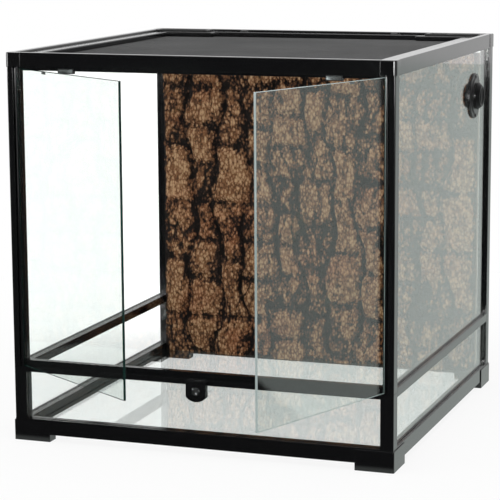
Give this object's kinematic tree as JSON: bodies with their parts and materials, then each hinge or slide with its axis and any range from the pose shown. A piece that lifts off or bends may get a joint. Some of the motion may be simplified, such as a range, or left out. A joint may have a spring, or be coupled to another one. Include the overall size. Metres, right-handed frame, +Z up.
{
  "type": "reptile terrarium",
  "caption": "Front-opening glass terrarium in a raised black frame, with swing doors, a key lock, a screen lid, cable ports and a bark background.",
  "frame": {"origin": "centre of the footprint, on the surface that the feet stand on", "axes": "+X to the enclosure's right seen from the doors, +Y to the rear, +Z up"},
  "size_m": [0.6176, 0.8731, 0.6],
  "materials": {
    "frame_plastic": "satin black moulded plastic",
    "port_plastic": "smooth black plastic",
    "pane_glass": "clear float glass",
    "door_glass": "clear tempered glass with polished green edges",
    "screen_mesh": "black coated wire",
    "bark": "rough bark",
    "strike_steel": "brushed",
    "magnet_holder": "plated",
    "lock_metal": "plated"
  },
  "bodies": {
    "enclosure": {"bottom_rail_front": "frame_plastic", "bottom_rail_right": "frame_plastic", "bottom_rail_rear": "frame_plastic", "bottom_rail_left": "frame_plastic", "foot_front_left": "frame_plastic", "foot_front_right": "frame_plastic", "foot_rear_right": "frame_plastic", "foot_rear_left": "frame_plastic", "floor_pane": "pane_glass", "lower_post_front_left": "frame_plastic", "lower_post_front_right": "frame_plastic", "lower_post_rear_right": "frame_plastic", "lower_post_rear_left": "frame_plastic", "lower_pane_front": "pane_glass", "lower_pane_right": "pane_glass", "lower_pane_rear": "pane_glass", "lower_pane_left": "pane_glass", "door_sill": "frame_plastic", "mid_rail_right": "frame_plastic", "mid_rail_rear": "frame_plastic", "mid_rail_left": "frame_plastic", "upper_post_front_left": "frame_plastic", "upper_post_front_right": "frame_plastic", "upper_post_rear_right": "frame_plastic", "upper_post_rear_left": "frame_plastic", "upper_pane_right": "pane_glass", "upper_pane_rear": "pane_glass", "upper_pane_left": "pane_glass", "background_panel": "bark", "top_rail_front": "frame_plastic", "top_rail_right": "frame_plastic", "top_rail_rear": "frame_plastic", "top_rail_left": "frame_plastic", "top_corner_front_left": "frame_plastic", "top_corner_front_right": "frame_plastic", "top_corner_rear_right": "frame_plastic", "top_corner_rear_left": "frame_plastic", "cable_port_left": "frame_plastic", "cable_port_right": "frame_plastic", "door_magnets": "magnet_holder", "lock_housing": "frame_plastic", "port_flange": "port_plastic", "port_nut": "port_plastic"},
    "lid": {"lid_frame": "frame_plastic", "lid_screen": "screen_mesh", "lid_clips": "port_plastic"},
    "left_door": {"left_door_glass": "door_glass", "left_door_rod": "port_plastic", "left_door_strike": "strike_steel"},
    "right_door": {"right_door_glass": "door_glass", "right_door_rod": "port_plastic", "right_door_strike": "strike_steel"},
    "left_shutter": {"cable_shutter_left": "port_plastic"},
    "right_shutter": {"cable_shutter_right": "port_plastic"},
    "key_plug": {"lock_plug": "lock_metal"},
    "bolt": {"lock_bolt": "lock_metal"},
    "cap": {"port_cap": "port_plastic"}
  },
  "joints": [
    {"name": "left_door_hinge", "type": "hinge", "parent": "enclosure", "child": "left_door", "pos_m": [-0.2886, -0.299, 0.35], "axis": [0, 0, -1], "range_deg": [-34.1, 70.9]},
    {"name": "right_door_hinge", "type": "hinge", "parent": "enclosure", "child": "right_door", "pos_m": [0.2886, -0.299, 0.35], "axis": [0, 0, 1], "range_deg": [-69.2, 35.8]},
    {"name": "lid_lift", "type": "slide", "parent": "enclosure", "child": "lid", "axis": [0, 0, 1], "range_m": [0, 0.04]},
    {"name": "left_shutter_slide", "type": "slide", "parent": "enclosure", "child": "left_shutter", "axis": [-1, 0, 0], "range_m": [0, 0.04]},
    {"name": "right_shutter_slide", "type": "slide", "parent": "enclosure", "child": "right_shutter", "axis": [1, 0, 0], "range_m": [0, 0.04]},
    {"name": "key_turn", "type": "hinge", "parent": "enclosure", "child": "key_plug", "pos_m": [0, -0.311, 0.1008], "axis": [0, -1, 0], "range_deg": [0, 180]},
    {"name": "bolt_rise", "type": "slide", "parent": "enclosure", "child": "bolt", "axis": [0, 0, 1], "range_m": [0, 0.009]},
    {"name": "port_cap_turn", "type": "hinge", "parent": "enclosure", "child": "cap", "pos_m": [0.3, 0.19, 0.505], "axis": [1, 0, 0], "range_deg": [0, 90]}
  ],
  "couplings": [
    {"joint": "key_turn", "follows": "bolt_rise", "rad_per_m": 349}
  ]
}
